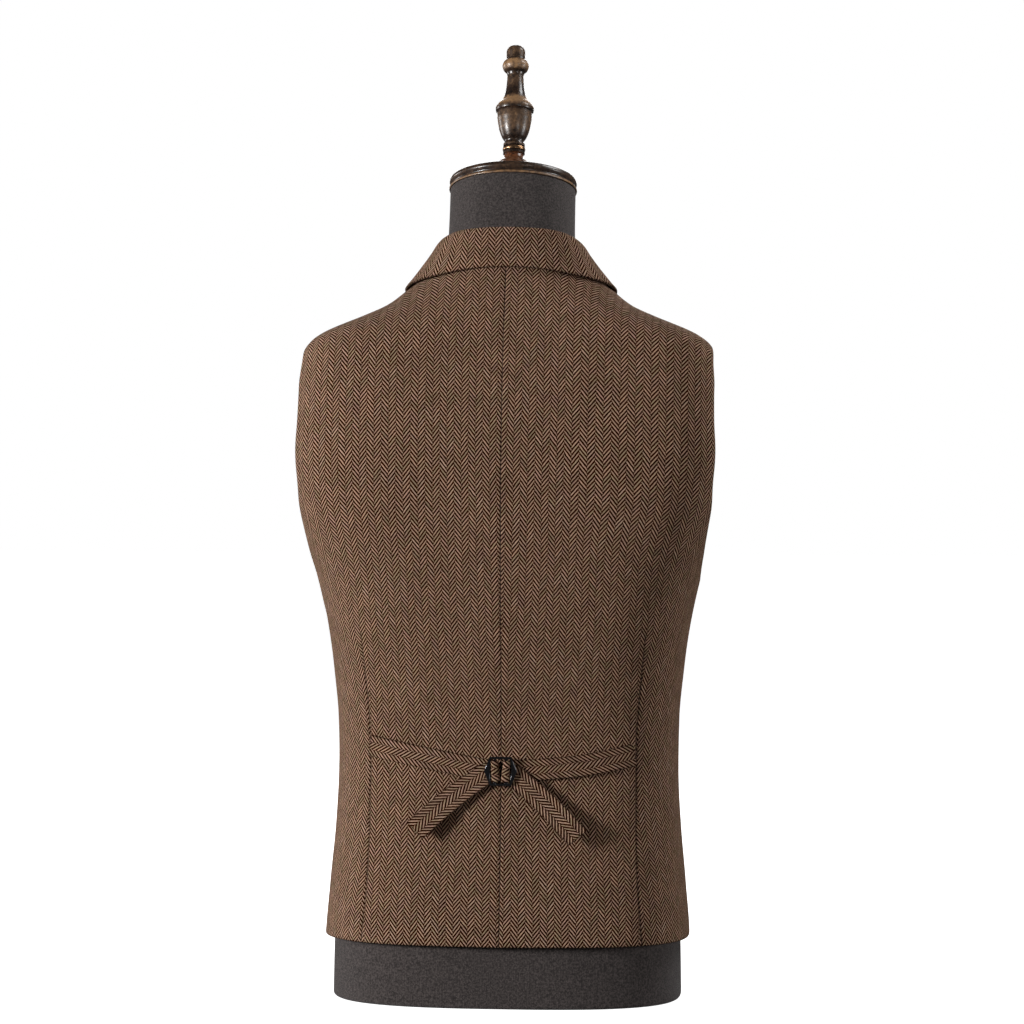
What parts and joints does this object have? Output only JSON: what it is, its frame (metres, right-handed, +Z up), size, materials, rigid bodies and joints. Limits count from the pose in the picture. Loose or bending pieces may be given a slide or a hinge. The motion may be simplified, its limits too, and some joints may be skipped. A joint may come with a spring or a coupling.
{
  "type": "suit waistcoat on a dress form",
  "caption": "Single-breasted suit waistcoat with notched lapels, collar and a buckled back strap, on a limbless dress form with a turned wooden neck cap and finial.",
  "frame": {"origin": "middle of the bounding box's footprint, on the surface that the dress form's flat base stands on", "axes": "+Z up along the form; the wearer faces -Y, so the back of the waistcoat is at +Y; the wearer's left side is at +X"},
  "size_m": [0.369, 0.2557, 0.858],
  "materials": {
    "tweed": "brown herringbone wool tweed, matt and slightly hairy",
    "jersey": "charcoal heather knit, matt",
    "dark_wood": "dark stained and varnished, edges rubbed lighter",
    "antique_brass": "antiqued",
    "black_metal": "glossy black plating",
    "horn": "polished horn"
  },
  "bodies": {
    "root": {"form_torso": "jersey", "neck_cap": "dark_wood", "finial": "dark_wood", "finial_ring": "antique_brass", "back_left": "tweed", "back_right": "tweed", "front_left": "tweed", "front_right": "tweed", "lapel_left": "tweed", "lapel_right": "tweed", "collar": "tweed", "strap_left": "tweed", "strap_right": "tweed", "strap_end_left": "tweed", "strap_end_right": "tweed", "buckle": "black_metal", "button_1": "horn", "button_2": "horn", "button_3": "horn", "button_4": "horn", "button_5": "horn"}
  },
  "joints": []
}
